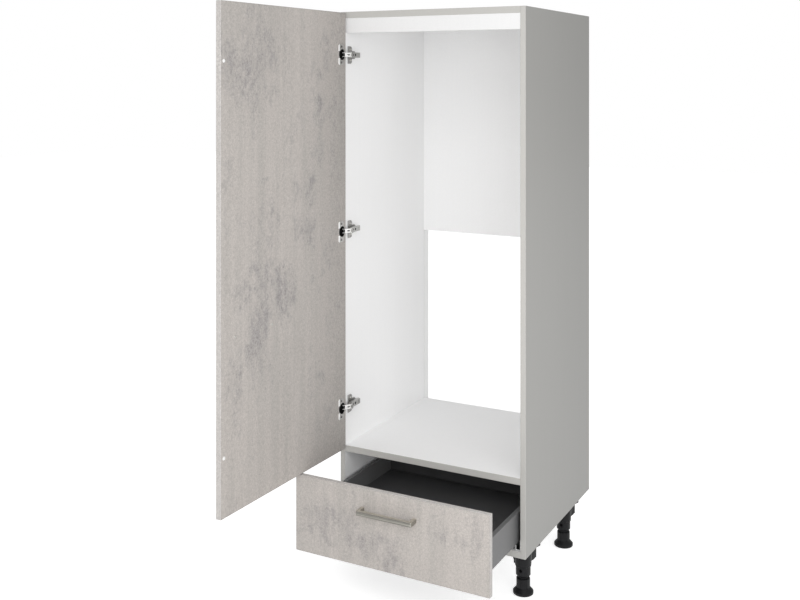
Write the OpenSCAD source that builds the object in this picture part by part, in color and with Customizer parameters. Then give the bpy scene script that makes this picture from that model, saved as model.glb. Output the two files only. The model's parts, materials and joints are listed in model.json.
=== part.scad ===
// Tall housing unit for a built-in fridge, with one door over one drawer.
// The door and the drawer stand open at rest, the way the unit is shown.
// Modules work in the carcass's own corner frame: X to the right from the left outer face,
// Y to the rear from the carcass front edges, Z up from the carcass underside.
// stand() then puts the origin on the floor, at mid width, in the plane of the closed fronts.

/* [Carcass] */
// Overall width of the unit
body_w = 600; // [500:10:900]
// Depth of the side panels
body_d = 571; // [560:1:650]
// Height of the carcass above its legs
body_h = 1540; // [1300:5:2000]
// Thickness of the side panels
side_t = 16; // [15:1:19]
// Thickness of the top, the appliance shelf and the bottom
deck_t = 19; // [16:1:25]
// Height of the appliance shelf's upper face above the carcass underside
shelf_z = 223; // [200:1:300]
// Depth left open for air behind the appliance shelf and the bottom
vent_d = 31; // [20:1:80]
// Distance from the back panel's front face to the rear edges of the sides
back_inset = 36; // [20:1:38]
// Thickness of the back panel
back_t = 3; // [3:0.5:8]
// Height of the back panel's lower edge above the carcass underside
back_z = 809; // [500:1:1200]
// Depth of the groove that holds the back panel
groove_deep = 7; // [4:0.5:9]
// Height of the front rail below the top
rail_h = 45.5; // [30:0.5:90]
// Thickness of the front rail
rail_t = 16; // [14:1:19]
// Bevel along the edges of the boards
edge_c = 0.8; // [0.3:0.1:1.5]

/* [Fronts] */
// Thickness of the door and the drawer front
front_t = 16; // [16:1:22]
// Gap between the closed fronts and the carcass
front_gap = 2.5; // [2:0.1:4]
// Set-back of the fronts from each outer side
reveal = 2; // [1:0.5:3]
// Gap between the door and the drawer front
front_joint = 2.5; // [2:0.5:5]
// Gap between the door's top edge and the carcass top
top_reveal = 3.5; // [0:0.5:6]
// Height of the drawer front
drawer_front_h = 214.5; // [190:0.5:230]
// Angle by which the door stands open
door_open = 91.1; // [0:0.1:105]
// Distance by which the drawer stands open
drawer_out = 228.5; // [0:0.5:470]

/* [Hinges] */
// Distance from the door's ends to the middle of the outer hinges
hinge_inset = 127; // [80:1:200]
// Distance from the door's edge to the middle of a cup
cup_edge = 21.5; // [21:0.5:22.5]
// Diameter of a hinge cup
cup_dia = 35; // [35:0.5:36]
// Depth of a hinge cup in the door
cup_deep = 12; // [12:0.2:13]
// Distance from the carcass front edge to the screws of the hinge plates
plate_row = 28; // [26:1:42]
// Spacing of the two screws of a hinge plate
plate_pitch = 32; // [30:1:36]
// Spacing of the two screws of a hinge cup
cup_pitch = 48; // [45:1:52]
// Distance from the door's free edge to the nearer screw of its handle
door_handle_edge = 58.5; // [30:0.5:120]
// Distance from the door's lower edge to the middle of its handle
door_handle_up = 453.5; // [60:0.5:1000]

/* [Drawer] */
// Nominal length of the drawer sides
drawer_len = 500; // [400:10:500]
// Height of the metal drawer sides
drawer_side_h = 85; // [70:1:95]
// Width of the metal drawer sides
drawer_side_w = 12; // [10:0.5:16]
// Thickness of the drawer's base and back
drawer_board_t = 16; // [12:1:18]
// Gap between the drawer sides and the side panels
drawer_play = 10; // [9:0.5:14]
// Hole spacing of the handles
handle_pitch = 160; // [96:32:320]
// Height of a handle's bar
handle_h = 12.5; // [8:0.5:16]
// Depth of a handle's bar and width of its feet
handle_t = 10; // [7:0.5:12]
// Projection of the handles from the fronts
handle_out = 32; // [26:1:40]
// Distance from the drawer front's top edge to the middle of its handle
handle_drop = 57.5; // [40:0.5:110]
// Distance from the carcass front edge to the first screws of the runners
runner_row = 37; // [30:1:60]

/* [Legs] */
// Height of the legs
leg_h = 121; // [115:1:140]
// Distance from the outer sides to the middle of the legs
leg_side = 29; // [29:1:60]
// Distance from the carcass front edge to the front legs
leg_front = 56.5; // [45:0.5:90]
// Distance from the rear edges of the sides to the rear legs
leg_rear = 169; // [120:1:220]
// Diameter of a leg's tube
leg_dia = 42; // [37:0.2:44]
// Diameter of a foot's disc
foot_dia = 58; // [50:0.5:60]
// Diameter of the hole for a plinth clip
clip_dia = 9.5; // [6:0.5:11]

/* [Hidden] */
$fn = 48;
eps = 0.1;
fit = 0.05;

// Decks: the height of the lower face, the depth and the face that takes the cams
inner_w = body_w - 2 * side_t;
deck_d = body_d - vent_d;
back_y = body_d - back_inset;
back_play = 0.2;
top_d = back_y + back_play;
BOTTOM = 0;
SHELF = shelf_z - deck_t;
TOP = body_h - deck_t;
DECKS = [[BOTTOM, deck_d, false], [SHELF, deck_d, false], [TOP, top_d, true]];
cam_row = 62;
dowel_row = 94;
dowel_d = 8;
dowel_len = 30;
dowel_in_side = 10.5;
cam_d = 15;
cam_set = 24;
cam_deep = deck_t / 2 + 4;
bolt_d = 7;
bolt_thread_d = 5;
bolt_in_side = 11;
rail_back = 2;
back_end = 30;

// Fronts
door_w = body_w - 2 * reveal;
door_z = drawer_front_h + front_joint;
door_h = body_h - top_reveal - door_z;
front_y = -front_gap - front_t;
bumper_d = 10;
bumper_t = front_gap - 0.4;
bumper_edge = 12;
bumper_end = 154;

// Hinges, in plan: the door turns about pivot; pin_outer and pin_inner carry the two links
HINGE_Z = [door_z + door_h - hinge_inset, door_z + door_h / 2, door_z + hinge_inset];
pivot = [reveal + 7.5, -front_gap - 14];
cup_x = reveal + cup_edge;
cup_wall = 1.05;
cup_inner_r = cup_dia / 2 - cup_wall;
flange_play = 0.5;
flange_t = front_gap - flange_play;
rim_t = 1.2;
flange_h = cup_pitch + 14;
flange_x = [-6.5, 19.5];
flange_c = 3.5;
cup_screw_x = 6;
mouth_h = 21.6;
pin_outer = pivot + [27.5, 17.1];
pin_inner = pivot + [20, 19.5];
link_ratio = 0.4;
outer_len = 26.3;
outer_angle = 196.3;
outer_bend = [23.1, 2.8];
outer_half = 1.4;
outer_eye = 2.2;
outer_cheek = [4.9, 6.2];
web_off = [0.95, 1.75];
web_run = [2.8, 21.5];
drop_x = 7.5;
drop_r = 2.7;
drop_len = 9;
inner_len = 23.5;
inner_angle = 210.5;
inner_bend = [22.1, 3.6];
inner_half = 0.85;
inner_eye = 1.9;
inner_high = 3.3;
pin_r = 1.2;
arm_inner = 6.6;
arm_cheek = 1.2;
arm_high = arm_inner + arm_cheek;
arm_low_x = pivot[0] + 15;
arm_top_x = pivot[0] + 23.5;
arm_nose_x = pin_outer[0] + 2.6;
clamp_hole = 8;
arm_end = plate_row + 34;
arm_step = [9, 15.5];
clamp_y = plate_row + 6;
adjust_y = plate_row - 8;
tail_y = arm_end - 15;
plate_front = plate_row - 13;
plate_end = arm_end - 6;
plate_half = 12;
plate_t = 4;
wing_half = plate_pitch / 2 + 10.5;
wing_w = 22;
wing_t = 2.5;
wing_r = 8;
plate_head = 7.6;

// Drawer, with its side profile's levels counted from the bottom's upper face
drawer_low = deck_t + 21;
drawer_top = drawer_low + drawer_side_h;
ledge_z = deck_t + 34.8;
base_z = ledge_z + 1.2;
sheet = 1.2;
box_y = -front_gap;
box_x = side_t + drawer_play;
box_inner = box_x + drawer_side_w;
ledge_screw_x = box_x + 22;
ledge_w = ledge_screw_x + 4 - box_inner;
bracket_h = drawer_side_h - 33;
box_w = body_w - 2 * box_inner;
bead_h = 7.5;
bead_t = 0.6;
groove_w = 1.2;
ledge_screw_end = 60;
drawer_back_h = drawer_top - 7 - base_z - drawer_board_t;

// Handles: the middle of the drawer's one and of the door's one, in X and Z
HANDLES = [[body_w / 2, drawer_front_h - handle_drop],
           [reveal + door_w - door_handle_edge - handle_pitch / 2, door_z + door_handle_up]];
handle_c = 0.8;
handle_r = 5;

// Runners: the channels and the bar between them lie above the lower edge of the drawer side
runner_z = deck_t + 2;
runner_t = 1.5;
runner_y = 3;
rail_len = 475;
middle_len = 455;
slide_len = 470;
flange_up = 30;
play = 0.4;
rail_play = 0.8;
channel_lip = 5;
hook = 1.6;
channel_low = drawer_low + 0.5;
channel_h = ledge_z - rail_play - channel_low;
channel_w = runner_t + channel_lip;
rail_x = box_x + sheet + 2.3;
slide_x = rail_x + 2 * channel_w + 0.5;
bar_w = channel_lip - runner_t - 2 * play;
screw_step = [128, 352];
RUNNER_SCREWS = [runner_row, runner_row + screw_step[0], runner_row + screw_step[1]];

// Legs
LEGS = [[leg_side, leg_front, 0], [body_w - leg_side, leg_front, 1],
        [leg_side, body_d - leg_rear, 2], [body_w - leg_side, body_d - leg_rear, 3]];
leg_plate_t = 6;
collar_r = 24.5;
collar_low_r = 23;
collar_h = 42;
neck_r = 15;
tube_end = 67.5;
neck_start = 73;
foot_top = 77;
foot_gap = 4;
cup_out_r = 19.5;
disc_t = 8.5;
flare_h = 9.5;
foot_floor = 9;
LOBES = [[48, 125], [48, 170], [48, 215]];
lobe_r = 9;
support_lobe = [65, 73];
rib_t = 8;
SUPPORT_RIB = [[15, -5], [55, -5], [55, -36], [40, -40.5], [15, -41]];
INNER_RIB = [[15, -5], [33, -5], [33, -26], [29, -34], [29, -42.5], [15, -47.5]];
clip_z = 52;
clip_deep = 8;
screw_d = 4;

// The origin lies on the floor, below the middle of the open unit with its door handle on the left
origin_x = (body_w - handle_out) / 2;
module stand() translate([-origin_x, front_t + front_gap, leg_h]) children();
module door_pose() translate(pivot) rotate([0, 0, -door_open]) translate(-pivot) children();
module drawer_pose() translate([0, -drawer_out, 0]) children();
module mirrored(right) {
    if (right) translate([body_w, 0, 0]) mirror([1, 0, 0]) children();
    else children();
}

// A screw along +Z: its head stands on z = 0 and its shank goes down
module screw(head_d, head_h, shank_d, len) {
    difference() {
        union() {
            cylinder(d1 = head_d, d2 = head_d * 0.82, h = head_h);
            translate([0, 0, -len]) cylinder(d = shank_d, h = len + eps);
        }
        for (turn = [0, 90]) rotate(turn)
            translate([-head_d * 0.28, -head_d * 0.06, head_h * 0.45])
                cube([head_d * 0.56, head_d * 0.12, head_h]);
    }
}

module bevelled(a, b, c = edge_c)
    polygon([[c, 0], [a - c, 0], [a, c], [a, b - c], [a - c, b], [c, b], [0, b - c], [0, c]]);

// A board with all its edges bevelled
module board(w, d, h) intersection() {
    linear_extrude(h) bevelled(w, d);
    rotate([90, 0, 90]) linear_extrude(w) bevelled(d, h);
    translate([0, d, 0]) rotate([90, 0, 0]) linear_extrude(d) bevelled(w, h);
}

// A board that stands between the sides, bevelled along its front edges only
module deck(w, d, h)
    rotate([90, 0, 90]) linear_extrude(w)
        polygon([[edge_c, 0], [d, 0], [d, h], [edge_c, h], [0, h - edge_c], [0, edge_c]]);

// Places along a deck's end: z of the board's middle, then y
function deck_mid(k) = DECKS[k][0] + deck_t / 2;
function cam_ys(d) = [cam_row, d - cam_row];
function dowel_ys(d) = [dowel_row, d / 2, d - dowel_row];
RAIL_DOWELS = [rail_h * 0.27, rail_h * 0.73];
rail_y = rail_back + rail_t / 2;
rail_z = TOP - rail_h;

// Children stand at each dowel, along +X from the left side panel's inner face
module at_dowels() for (k = [0:2], y = dowel_ys(DECKS[k][1]))
    translate([side_t, y, deck_mid(k)]) rotate([0, 90, 0]) children();
module at_rail_dowels() for (z = RAIL_DOWELS)
    translate([side_t, rail_y, rail_z + z]) rotate([0, 90, 0]) children();
module at_bolts() for (k = [0:2], y = cam_ys(DECKS[k][1]))
    translate([side_t, y, deck_mid(k)]) rotate([0, 90, 0]) children();

module side_bores() {
    at_dowels() translate([0, 0, -dowel_in_side - 0.5])
        cylinder(d = dowel_d + 2 * fit, h = dowel_in_side + 1);
    at_rail_dowels() translate([0, 0, -dowel_in_side - 0.5])
        cylinder(d = dowel_d + 2 * fit, h = dowel_in_side + 1);
    at_bolts() translate([0, 0, -bolt_in_side - 0.5])
        cylinder(d = bolt_thread_d + 2 * fit, h = bolt_in_side + 1);
    for (y = RUNNER_SCREWS) translate([side_t, y, runner_z + flange_up / 2])
        rotate([0, 90, 0]) translate([0, 0, -11]) cylinder(d = 3.5 + 2 * fit, h = 12);
}

module plate_bores() for (z = HINGE_Z, s = [-1, 1])
    translate([side_t, plate_row, z + s * plate_pitch / 2]) rotate([0, 90, 0])
        translate([0, 0, -12]) cylinder(d = 5 + 2 * fit, h = 13);

// One side panel as the left one, with the back panel's groove over its whole height
module side_panel(hinged) difference() {
    board(side_t, body_d, body_h);
    translate([side_t - groove_deep, back_y, -eps])
        cube([groove_deep + eps, back_t + 2 * back_play, body_h + 2 * eps]);
    side_bores();
    if (hinged) plate_bores();
}

module deck_board(k) {
    d = DECKS[k][1];
    z = DECKS[k][0];
    difference() {
        translate([side_t, 0, z]) deck(inner_w, d, deck_t);
        for (right = [false, true]) mirrored(right) {
            for (y = dowel_ys(d)) translate([side_t - eps, y, deck_mid(k)]) rotate([0, 90, 0])
                cylinder(d = dowel_d + 2 * fit, h = dowel_len - dowel_in_side + 0.5 + eps);
            for (y = cam_ys(d)) {
                translate([side_t - eps, y, deck_mid(k)]) rotate([0, 90, 0])
                    cylinder(d = bolt_d + 2 * fit, h = cam_set);
                translate([side_t + cam_set, y, DECKS[k][2] ? z + deck_t - cam_deep : z - eps])
                    cylinder(d = cam_d + 2 * fit, h = cam_deep + eps);
            }
        }
        if (k == 2) back_screw_bores();
    }
}

module top_front_rail() color("white") stand() difference() {
    translate([side_t, rail_back, rail_z]) deck(inner_w, rail_t, rail_h);
    for (right = [false, true]) mirrored(right) at_rail_dowels() translate([0, 0, -eps])
        cylinder(d = dowel_d + 2 * fit, h = dowel_len - dowel_in_side + 0.5 + eps);
}

BACK_SCREWS = [for (k = [0:4]) side_t + back_end + k * (inner_w - 2 * back_end) / 4];
module at_back_screws() for (x = BACK_SCREWS)
    translate([x, back_y + back_play + back_t, TOP + deck_t / 2]) rotate([-90, 0, 0]) children();
module back_screw_bores() at_back_screws() translate([0, 0, -back_t - 20.5])
    cylinder(d = 3 + 2 * fit, h = back_t + 21);

module back_panel() color("whitesmoke") stand() difference() {
    translate([side_t - groove_deep + 0.5, back_y + back_play, back_z])
        cube([inner_w + 2 * groove_deep - 1, back_t, body_h - back_z]);
    back_screw_bores();
}
module back_screws() color("silver") stand() at_back_screws() screw(7, 2, 3, back_t + 20);

module panel_dowels() color("burlywood") stand() for (right = [false, true]) mirrored(right) {
    at_dowels() dowel();
    at_rail_dowels() dowel();
}
module dowel() translate([0, 0, -dowel_in_side]) cylinder(d = dowel_d, h = dowel_len);

module cam_bolts() color("silver") stand()
    for (right = [false, true]) mirrored(right) at_bolts() rotate_extrude()
        polygon([[0, -bolt_in_side], [bolt_thread_d / 2, -bolt_in_side], [bolt_thread_d / 2, 0],
                 [bolt_d / 2, 0], [bolt_d / 2, cam_set - 11], [1.8, cam_set - 9.5],
                 [1.8, cam_set - 3], [3.1, cam_set - 2], [3.1, cam_set + 1], [0, cam_set + 1]]);

// A cam lock: its driver slot faces -Z and its bolt comes in along +X
module cam_lock() difference() {
    cylinder(d = cam_d, h = cam_deep - 0.1);
    translate([-cam_d, -3.5, deck_t / 2 - 3.5]) cube([cam_d + 3.5, 7, cam_deep]);
    for (turn = [0, 90]) rotate(turn + 45) translate([-5, -0.8, -eps]) cube([10, 1.6, 2.5]);
}
module cam_locks() color("gainsboro") stand() for (right = [false, true]) mirrored(right)
    for (k = [0:2], y = cam_ys(DECKS[k][1]))
        translate([side_t + cam_set, y, DECKS[k][0] + (DECKS[k][2] ? deck_t : 0)])
            mirror([0, 0, DECKS[k][2] ? 1 : 0]) cam_lock();

// The door and what it carries are drawn closed and then swung open
module at_cups() for (z = HINGE_Z) translate([cup_x, -front_gap, z]) rotate([-90, 0, 0]) children();
module at_cup_screws() at_cups() for (s = [-1, 1])
    translate([cup_screw_x, s * cup_pitch / 2, flange_t]) children();

module door_panel() color([0.72, 0.71, 0.68]) stand() door_pose() difference() {
    translate([reveal, front_y, door_z]) board(door_w, front_t, door_h);
    at_cups() translate([0, 0, -cup_deep - 0.2]) cylinder(d = cup_dia + 2 * fit, h = cup_deep + 1);
    at_cup_screws() translate([0, 0, -flange_t - 11.5]) cylinder(d = 3.2 + 2 * fit, h = 13);
    front_bores(1);
}

module door_bumpers() color("white") stand() door_pose()
    for (z = [door_z + bumper_end, door_z + door_h - bumper_end])
        translate([reveal + door_w - bumper_edge, -front_gap, z]) rotate([-90, 0, 0])
            cylinder(d1 = bumper_d, d2 = bumper_d * 0.7, h = bumper_t);

// A hinge cup in its own frame: +Z out of the door, +X away from the door's edge
module hinge_cup() {
    difference() {
        translate([0, 0, -cup_deep]) cylinder(d = cup_dia, h = cup_deep);
        translate([0, 0, -cup_deep + 1]) cylinder(r = cup_inner_r, h = cup_deep);
    }
    difference() {
        union() {
            linear_extrude(rim_t) circle(d = cup_dia + 3);
            linear_extrude(flange_t) flange_plan();
        }
        translate([0, 0, -eps]) cylinder(r = cup_inner_r, h = flange_t + 2 * eps);
        translate([-40, -mouth_h / 2, -eps]) cube([80, mouth_h, flange_t + 2 * eps]);
        for (s = [-1, 1]) translate([cup_screw_x, s * cup_pitch / 2, -eps])
            cylinder(d = 3.4, h = flange_t + 2 * eps);
    }
}
// The flange's outline, with its corners cut off
module flange_plan() translate([flange_x[0], -flange_h / 2])
    bevelled(flange_x[1] - flange_x[0], flange_h, flange_c);
module cup_at(k) color("silver") stand() door_pose()
    translate([cup_x, -front_gap, HINGE_Z[k]]) rotate([-90, 0, 0]) hinge_cup();
module hinge_cup_screws() color("silver") stand() door_pose() at_cup_screws() screw(7, 1.7, 3.2, 12.5);

// Plan outline of a hinge arm's cheek, from its nose with the two pins to its toothed tail
module arm_plan() {
    translate(pin_outer) circle(2.6);
    translate(pin_inner) circle(2.4);
    polygon([[pin_inner[0] - 2.4, pin_inner[1]], [pin_inner[0] - 1, pin_inner[1] - 2.18],
             [pin_outer[0] - 0.4, pin_outer[1] - 2.57], [arm_nose_x, pin_outer[1]],
             [arm_nose_x, arm_step[0]], [arm_top_x, arm_step[1]], [arm_top_x, arm_end],
             [arm_low_x + 2, arm_end], [arm_low_x, arm_end - 4], [arm_low_x, arm_step[1] - 6]]);
}
module arm_web_plan() polygon([
    [arm_nose_x - arm_cheek, 3.5], [arm_nose_x, 3.5], [arm_nose_x, arm_step[0]],
    [arm_top_x, arm_step[1]], [arm_top_x, arm_end], [arm_top_x - arm_cheek, arm_end],
    [arm_top_x - arm_cheek, arm_step[1] - 0.5], [arm_nose_x - arm_cheek, arm_step[0] - 0.5]]);
module hinge_arm() difference() {
    union() {
        for (z = [-arm_high, arm_inner]) translate([0, 0, z]) linear_extrude(arm_cheek) arm_plan();
        translate([0, 0, -arm_high]) linear_extrude(2 * arm_high) arm_web_plan();
    }
    for (p = [pin_outer, pin_inner]) translate([p[0], p[1], -arm_high - eps])
        cylinder(r = pin_r + fit, h = 2 * arm_high + 2 * eps);
    for (y = [clamp_y, adjust_y]) translate([arm_top_x - 3, y, 0]) rotate([0, 90, 0])
        cylinder(d = clamp_hole, h = 5);
    for (k = [0:3]) translate([arm_top_x - 0.6, tail_y + 2 + k * 3.2, -4.5]) cube([1, 1.4, 9]);
}
module arm_at(k) color("silver") stand() translate([0, 0, HINGE_Z[k]]) hinge_arm();

// The plate's ridge lies in the arm's channel, and its two wings are screwed to the side panel
module hinge_plate() difference() {
    union() {
        translate([side_t, plate_front + 1, -arm_inner + 0.2])
            cube([arm_top_x - arm_cheek - side_t, plate_end - plate_front - 1, 2 * arm_inner - 0.4]);
        translate([side_t, 0, 0]) rotate([90, 0, 90]) {
            linear_extrude(plate_t) polygon([
                [plate_front, -plate_half], [plate_end - 6, -plate_half], [plate_end, -plate_half + 5],
                [plate_end, plate_half - 5], [plate_end - 6, plate_half], [plate_front, plate_half]]);
            linear_extrude(wing_t) wing_plan();
        }
    }
    for (s = [-1, 1]) {
        translate([side_t - eps, plate_row, s * plate_pitch / 2]) rotate([0, 90, 0])
            cylinder(d = 5 + 2 * fit, h = plate_t + 2 * eps);
        translate([side_t - eps, plate_row, s * (wing_half - 4)]) rotate([0, 90, 0])
            cylinder(d = 3, h = wing_t + 2 * eps);
    }
    for (y = [clamp_y, adjust_y]) translate([side_t + 2, y, 0]) rotate([0, 90, 0])
        cylinder(d = 4 + 2 * fit, h = 20);
}
// Wings with a straight front edge and rounded rear corners
module wing_plan() {
    translate([plate_front, -wing_half]) square([wing_w - wing_r, 2 * wing_half]);
    translate([plate_front, -wing_half + wing_r]) square([wing_w, 2 * (wing_half - wing_r)]);
    for (s = [-1, 1]) translate([plate_front + wing_w - wing_r, s * (wing_half - wing_r)])
        circle(wing_r);
}
module plate_at(k) color("silver") stand() translate([0, 0, HINGE_Z[k]]) hinge_plate();
module hinge_plate_screws() color("silver") stand() for (z = HINGE_Z, s = [-1, 1])
    translate([side_t + wing_t, plate_row, z + s * plate_pitch / 2]) rotate([0, 90, 0])
        screw(plate_head, 2.2, 5, wing_t + 11.5);
module hinge_adjusting_screws() color("dimgray") stand() for (z = HINGE_Z) {
    for (y = [clamp_y, adjust_y]) translate([arm_top_x - arm_cheek, y, z]) rotate([0, 90, 0])
        screw(clamp_hole - 0.6, 1.6, 4, 9);
}
module hinge_arm_pins() color("silver") stand() for (z = HINGE_Z, p = [pin_outer, pin_inner])
    translate([p[0], p[1], z - arm_high - 0.4]) cylinder(r = pin_r, h = 2 * arm_high + 0.8);

// Plan of one link along +X from its arm pin: a straight run, a bend and the end in the cup
function beside(v, half) = [-v[1], v[0]] * half / norm(v);
module link_plan(len, bend, half, eye, tip) {
    near = beside(bend, half);
    far = beside([len, 0] - bend, half);
    corner = (near + far) / (1 + near * far / (half * half));
    circle(eye);
    polygon([-near, bend - corner, [len, 0] - far, [len, 0] + far, bend + corner, near]);
    if (tip > half) translate([len, 0]) circle(tip);
}
module outer_link() difference() {
    union() {
        for (z = [-outer_cheek[1], outer_cheek[0]]) translate([0, 0, z])
            linear_extrude(outer_cheek[1] - outer_cheek[0])
                link_plan(outer_len, outer_bend, outer_half, outer_eye, 1.9);
        rotate(atan2(outer_bend[1], outer_bend[0]))
            translate([web_run[0], web_off[0], -outer_cheek[1] + 0.15])
                cube([web_run[1] - web_run[0], web_off[1] - web_off[0], 2 * outer_cheek[1] - 0.3]);
    }
    translate([0, 0, -10]) cylinder(r = pin_r + fit, h = 20);
    rotate(atan2(outer_bend[1], outer_bend[0])) rotate([-90, 0, 0]) linear_extrude(5) drop_plan();
}
// A drop-shaped hole in the web, round towards the arm
module drop_plan() {
    translate([drop_x, 0]) circle(drop_r);
    polygon([[drop_x, drop_r], [drop_x, -drop_r], [drop_x + drop_len, -0.3], [drop_x + drop_len, 0.3]]);
}
module inner_link() difference() {
    translate([0, 0, -inner_high]) linear_extrude(2 * inner_high)
        link_plan(inner_len, inner_bend, inner_half, inner_eye, 0);
    translate([0, 0, -10]) cylinder(r = pin_r + fit, h = 20);
}
link_turn = link_ratio * door_open;
module outer_at(k) color("lightgray") stand() translate([pin_outer[0], pin_outer[1], HINGE_Z[k]])
    rotate(outer_angle + link_turn) outer_link();
module inner_at(k) color("lightgray") stand() translate([pin_inner[0], pin_inner[1], HINGE_Z[k]])
    rotate(inner_angle + link_turn) inner_link();

// Handles: 0 is the drawer's and 1 the door's, both drawn closed
module at_handle_holes(k) for (s = [-1, 1])
    translate([HANDLES[k][0] + s * handle_pitch / 2, 0, HANDLES[k][1]]) rotate([-90, 0, 0]) children();
module front_bores(k) at_handle_holes(k) translate([0, 0, front_y - 1])
    cylinder(d = screw_d + 2 * fit, h = front_t + 2);
module handle_at(k) color([0.66, 0.65, 0.6]) difference() {
    translate([HANDLES[k][0], front_y, HANDLES[k][1] - handle_h / 2]) handle_bow();
    at_handle_holes(k) translate([0, 0, front_y - 14]) cylinder(d = screw_d + 2 * fit, h = 15);
}
module screws_at(k) color("silver") at_handle_holes(k)
    translate([0, 0, -front_gap]) screw(8, 1.9, screw_d, front_t + 12);

// In plan a handle is a bow with two feet, and long bevels run along its bar and feet
module handle_bow() {
    half = (handle_pitch + handle_t) / 2;
    difference() {
        linear_extrude(handle_h) difference() {
            union() {
                translate([-half, -handle_out + handle_r]) square([2 * half, handle_out - handle_r]);
                translate([-half + handle_r, -handle_out]) square([2 * (half - handle_r), handle_r + eps]);
                for (s = [-1, 1]) translate([s * (half - handle_r), -handle_out + handle_r])
                    circle(handle_r);
            }
            translate([-half + handle_t, -handle_out + handle_t])
                square([2 * (half - handle_t), handle_out]);
        }
        for (z = [0, handle_h]) {
            translate([0, -handle_out, z]) bevel_cut(2 * half + 2, handle_c);
            for (s = [-1, 1]) translate([s * half, -handle_out / 2, z]) rotate(90)
                bevel_cut(handle_out + 4, handle_c);
        }
    }
}
// A square bar along X, turned on edge, that takes a bevel off an edge
module bevel_cut(len, c) rotate([45, 0, 0]) cube([len, c * sqrt(2), c * sqrt(2)], center = true);
module door_handle() stand() door_pose() handle_at(1);
module door_handle_screws() stand() door_pose() screws_at(1);
module handle() stand() drawer_pose() handle_at(0);
module handle_screws() stand() drawer_pose() screws_at(0);

// Drawer pieces are drawn closed and then pulled out
BRACKET_SCREWS = [18, bracket_h - 6];
module at_bracket_screws() for (right = [false, true]) mirrored(right)
    for (z = BRACKET_SCREWS) translate([box_x + drawer_side_w / 2, box_y, base_z + z]) children();

module drawer_front() color([0.74, 0.73, 0.70]) stand() drawer_pose() difference() {
    translate([reveal, front_y, 0]) board(door_w, front_t, drawer_front_h);
    front_bores(0);
    at_bracket_screws() rotate([90, 0, 0]) translate([0, 0, -1]) cylinder(d = 3 + 2 * fit, h = 12);
}

// Section of the left drawer side in X and Z: a hollow wall, its bead and the ledge for the base
module drawer_side_section() {
    difference() {
        translate([box_x, ledge_z]) square([drawer_side_w, drawer_top - ledge_z]);
        translate([box_x + sheet, ledge_z + sheet])
            square([drawer_side_w - 2 * sheet, drawer_top - ledge_z - 2 * sheet]);
    }
    translate([box_x, drawer_low]) square([sheet, ledge_z - drawer_low + eps]);
    translate([box_x - bead_t, drawer_top - bead_h]) square([bead_t + eps, bead_h]);
    translate([box_inner - eps, ledge_z]) square([ledge_w, sheet]);
}
module drawer_side(right) color([0.32, 0.32, 0.33]) stand() drawer_pose() mirrored(right)
    difference() {
        translate([0, box_y + drawer_len, 0]) rotate([90, 0, 0])
            linear_extrude(drawer_len) drawer_side_section();
        translate([box_x + drawer_side_w / 2 - groove_w / 2, box_y - eps, drawer_top - sheet / 2])
            cube([groove_w, drawer_len + 2 * eps, sheet]);
        ledge_bores();
        back_bores();
    }
LEDGE_SCREWS = [ledge_screw_end, drawer_len / 2, drawer_len - ledge_screw_end];
module ledge_bores() for (y = LEDGE_SCREWS)
    translate([ledge_screw_x, box_y + y, ledge_z - 1]) cylinder(d = 3 + 2 * fit, h = 12);
module back_bores() for (z = [0.3, 0.75]) translate([box_inner - sheet - 1,
    box_y + drawer_len - drawer_board_t / 2, base_z + drawer_board_t + z * drawer_back_h])
        rotate([0, 90, 0]) cylinder(d = 3 + 2 * fit, h = 17);

module drawer_base() color([0.16, 0.16, 0.17]) stand() drawer_pose() difference() {
    translate([box_inner + back_play, box_y, base_z])
        cube([box_w - 2 * back_play, drawer_len, drawer_board_t]);
    for (right = [false, true]) mirrored(right) ledge_bores();
}
module drawer_back() color([0.2, 0.2, 0.21]) stand() drawer_pose() difference() {
    translate([box_inner, box_y + drawer_len - drawer_board_t, base_z + drawer_board_t])
        cube([box_w, drawer_board_t, drawer_back_h]);
    for (right = [false, true]) mirrored(right) back_bores();
}
module drawer_brackets() color("silver") stand() drawer_pose() difference() {
    for (right = [false, true]) mirrored(right)
        translate([box_x + sheet + back_play, box_y, base_z + 6])
            cube([drawer_side_w - 2 * sheet - 2 * back_play, 30, bracket_h]);
    at_bracket_screws() rotate([90, 0, 0]) translate([0, 0, -40]) cylinder(d = 3 + 2 * fit, h = 50);
    at_bracket_screws() rotate([90, 0, 0]) translate([0, 0, -40]) cylinder(d = 7, h = 36);
}
module drawer_screws() color("silver") stand() drawer_pose() {
    at_bracket_screws() translate([0, 4, 0]) rotate([-90, 0, 0]) screw(6.5, 2, 3, 14);
    for (right = [false, true]) mirrored(right) {
        for (y = LEDGE_SCREWS) translate([ledge_screw_x, box_y + y, ledge_z])
            rotate([180, 0, 0]) screw(6, 1.6, 3, 11);
        for (z = [0.3, 0.75]) translate([box_inner - sheet, box_y + drawer_len - drawer_board_t / 2,
            base_z + drawer_board_t + z * drawer_back_h]) rotate([0, -90, 0]) screw(6, 1.6, 3, 15);
    }
}

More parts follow.
